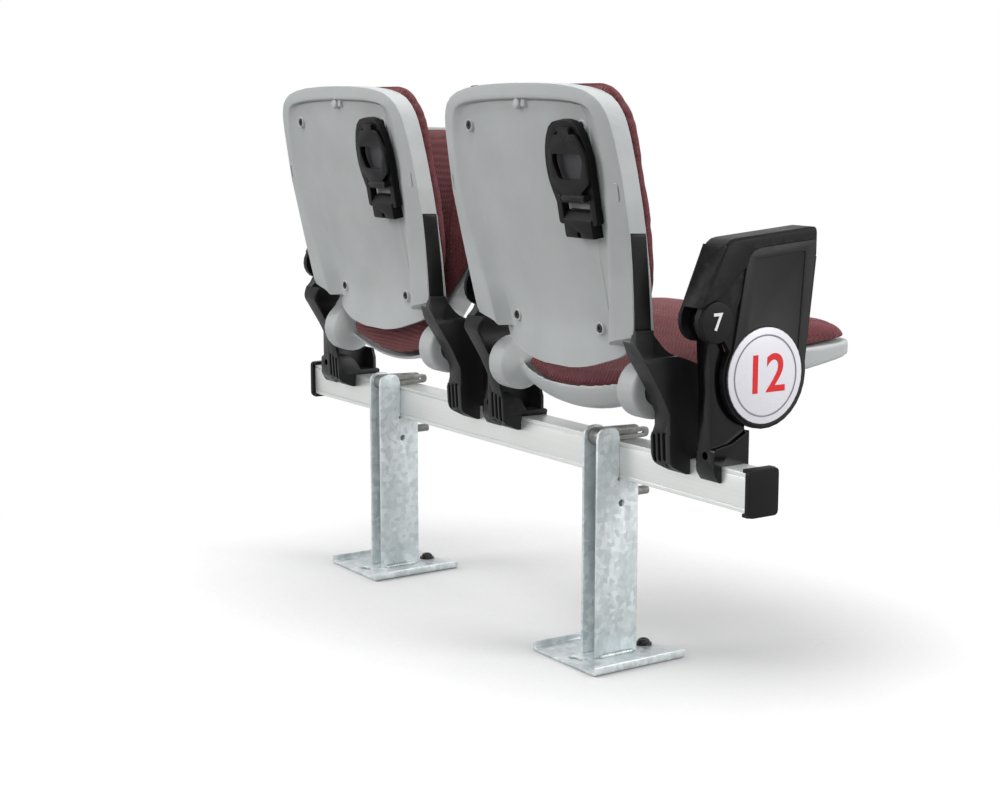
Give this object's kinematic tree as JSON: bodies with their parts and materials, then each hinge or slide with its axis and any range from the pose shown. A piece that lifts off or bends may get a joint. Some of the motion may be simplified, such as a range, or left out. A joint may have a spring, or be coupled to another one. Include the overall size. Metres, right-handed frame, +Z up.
{
  "type": "stadium seat",
  "caption": "Beam-mounted stadium seats with tip-up padded seats, padded backs, lifting arms, fold-down cup holders, round end discs and channel posts on floor plates.",
  "frame": {"origin": "on the floor, under the centre of the bounding box", "axes": "+X along the beam towards the sitter's left, -Y the way the sitter faces, +Z up"},
  "size_m": [1.1656, 0.4564, 0.792],
  "materials": {
    "beam": "extruded, satin",
    "cap": "moulded, satin",
    "post": "galvanised, pressed",
    "base": "galvanised, pressed",
    "bolt": "blackened",
    "lever": "zinc plated",
    "shell": "moulded, fine grain",
    "cushion": "padded, slubbed weave",
    "bracket": "moulded, fine grain",
    "column": "glossy",
    "arm": "moulded, grained",
    "cup_holder": "moulded, satin",
    "panel": "smooth"
  },
  "bodies": {
    "frame": {"beam": "beam", "beam_cap_right": "cap", "post_right": "post", "base_plate_right": "base", "floor_bolt_right": "bolt", "clamp_bolt_right": "lever", "back_shell_right": "shell", "back_cushion_right": "cushion", "back_screw_right_1": "bolt", "back_screw_right_2": "bolt", "back_screw_right_3": "bolt", "back_screw_right_4": "bolt", "bracket_right_right": "bracket", "seat_pin_right_right": "bolt", "bracket_right_left": "bracket", "seat_pin_right_left": "bolt", "cup_block_right": "cup_holder", "beam_cap_left": "cap", "post_left": "post", "base_plate_left": "base", "floor_bolt_left": "bolt", "clamp_bolt_left": "lever", "back_shell_left": "shell", "back_cushion_left": "cushion", "back_screw_left_1": "bolt", "back_screw_left_2": "bolt", "back_screw_left_3": "bolt", "back_screw_left_4": "bolt", "bracket_left_right": "bracket", "seat_pin_left_right": "bolt", "bracket_left_left": "bracket", "seat_pin_left_left": "bolt", "cup_block_left": "cup_holder", "arm_column_right": "column", "hub_pin_right": "bolt", "arm_column_middle": "column", "hub_pin_middle": "bolt", "arm_column_left": "column", "hub_pin_left": "bolt"},
    "seat_right": {"seat_shell_right": "shell", "seat_cushion_right": "cushion"},
    "holder_ring_right": {"cup_ring_right": "cup_holder"},
    "holder_flap_right": {"cup_flap_right": "cup_holder"},
    "lever_right": {"clamp_lever_right": "lever"},
    "seat_left": {"seat_shell_left": "shell", "seat_cushion_left": "cushion"},
    "holder_ring_left": {"cup_ring_left": "cup_holder"},
    "holder_flap_left": {"cup_flap_left": "cup_holder"},
    "lever_left": {"clamp_lever_left": "lever"},
    "armrest_right": {"arm_right": "arm", "hub_cap_right": "arm", "end_panel_right": "arm", "end_disc_right": "panel"},
    "armrest_middle": {"arm_middle": "arm", "hub_cap_middle": "arm"},
    "armrest_left": {"arm_left": "arm", "hub_cap_left": "arm", "end_panel_left": "arm", "end_disc_left": "panel"}
  },
  "joints": [
    {"name": "seat_right_tip", "type": "hinge", "parent": "frame", "child": "seat_right", "pos_m": [-0.25, 0.11177, 0.394], "axis": [-1, 0, 0], "range_deg": [0, 70]},
    {"name": "holder_ring_right_fold", "type": "hinge", "parent": "frame", "child": "holder_ring_right", "pos_m": [-0.3585, 0.19106, 0.61701], "axis": [-1, 0, 0], "range_deg": [0, 80]},
    {"name": "holder_flap_right_drop", "type": "hinge", "parent": "holder_ring_right", "child": "holder_flap_right", "pos_m": [-0.3585, 0.20983, 0.64508], "axis": [-1, 0, 0], "range_deg": [0, 24]},
    {"name": "lever_right_turn", "type": "hinge", "parent": "frame", "child": "lever_right", "pos_m": [-0.295, 0.10677, 0.312], "axis": [-1, 0, 0], "range_deg": [0, 24]},
    {"name": "seat_left_tip", "type": "hinge", "parent": "frame", "child": "seat_left", "pos_m": [0.25, 0.11177, 0.394], "axis": [1, 0, 0], "range_deg": [0, 70]},
    {"name": "holder_ring_left_fold", "type": "hinge", "parent": "frame", "child": "holder_ring_left", "pos_m": [0.1415, 0.19106, 0.61701], "axis": [-1, 0, 0], "range_deg": [0, 80]},
    {"name": "holder_flap_left_drop", "type": "hinge", "parent": "holder_ring_left", "child": "holder_flap_left", "pos_m": [0.1415, 0.20983, 0.64508], "axis": [-1, 0, 0], "range_deg": [0, 24]},
    {"name": "lever_left_turn", "type": "hinge", "parent": "frame", "child": "lever_left", "pos_m": [0.295, 0.10677, 0.312], "axis": [-1, 0, 0], "range_deg": [0, 100]},
    {"name": "armrest_right_lift", "type": "hinge", "parent": "frame", "child": "armrest_right", "pos_m": [-0.5, 0.10327, 0.4935], "axis": [-1, 0, 0], "range_deg": [0, 90]},
    {"name": "armrest_middle_lift", "type": "hinge", "parent": "frame", "child": "armrest_middle", "pos_m": [0, 0.10327, 0.4935], "axis": [-1, 0, 0], "range_deg": [0, 90]},
    {"name": "armrest_left_lift", "type": "hinge", "parent": "frame", "child": "armrest_left", "pos_m": [0.5, 0.10327, 0.4935], "axis": [-1, 0, 0], "range_deg": [0, 90]}
  ],
  "couplings": [
    {"joint": "holder_flap_right_drop", "follows": "holder_ring_right_fold", "ratio": 0.3},
    {"joint": "holder_flap_left_drop", "follows": "holder_ring_left_fold", "ratio": 0.3}
  ]
}
